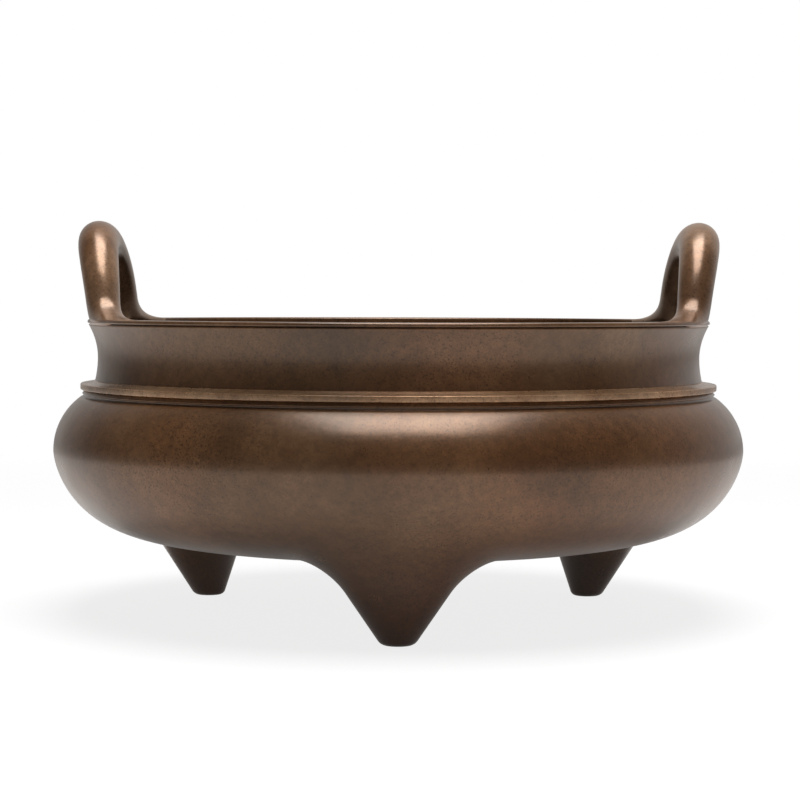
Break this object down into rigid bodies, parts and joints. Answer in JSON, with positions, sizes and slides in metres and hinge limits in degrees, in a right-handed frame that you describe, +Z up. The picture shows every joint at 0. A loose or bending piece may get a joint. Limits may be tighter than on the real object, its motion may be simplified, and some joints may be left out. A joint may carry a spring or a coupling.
{
  "type": "tripod incense burner",
  "caption": "Round bronze incense burner: squat bowl on three conical feet, waisted neck with a raised band and two upright loop handles.",
  "frame": {"origin": "on the floor under the centre of the bowl", "axes": "+Z up, -Y the side with the single foot (front), handles at +X and -X"},
  "size_m": [0.24, 0.24, 0.1365],
  "materials": {
    "patinated_bronze": "semi-gloss brown patina",
    "band_bronze": "brown patina, worn lighter on its edge",
    "foot_bronze": "dark brown patina",
    "pin_bronze": "dull brown, filed flush"
  },
  "bodies": {
    "root": {"bowl": "patinated_bronze", "neck_collar": "patinated_bronze", "string_band": "band_bronze", "handle_right": "patinated_bronze", "handle_left": "patinated_bronze", "foot_front": "foot_bronze", "foot_rear_right": "foot_bronze", "foot_rear_left": "foot_bronze", "handle_pin_right_rear": "pin_bronze", "handle_pin_right_front": "pin_bronze", "handle_pin_left_rear": "pin_bronze", "handle_pin_left_front": "pin_bronze", "foot_pin_front": "pin_bronze", "foot_pin_rear_right": "pin_bronze", "foot_pin_rear_left": "pin_bronze"}
  },
  "joints": []
}
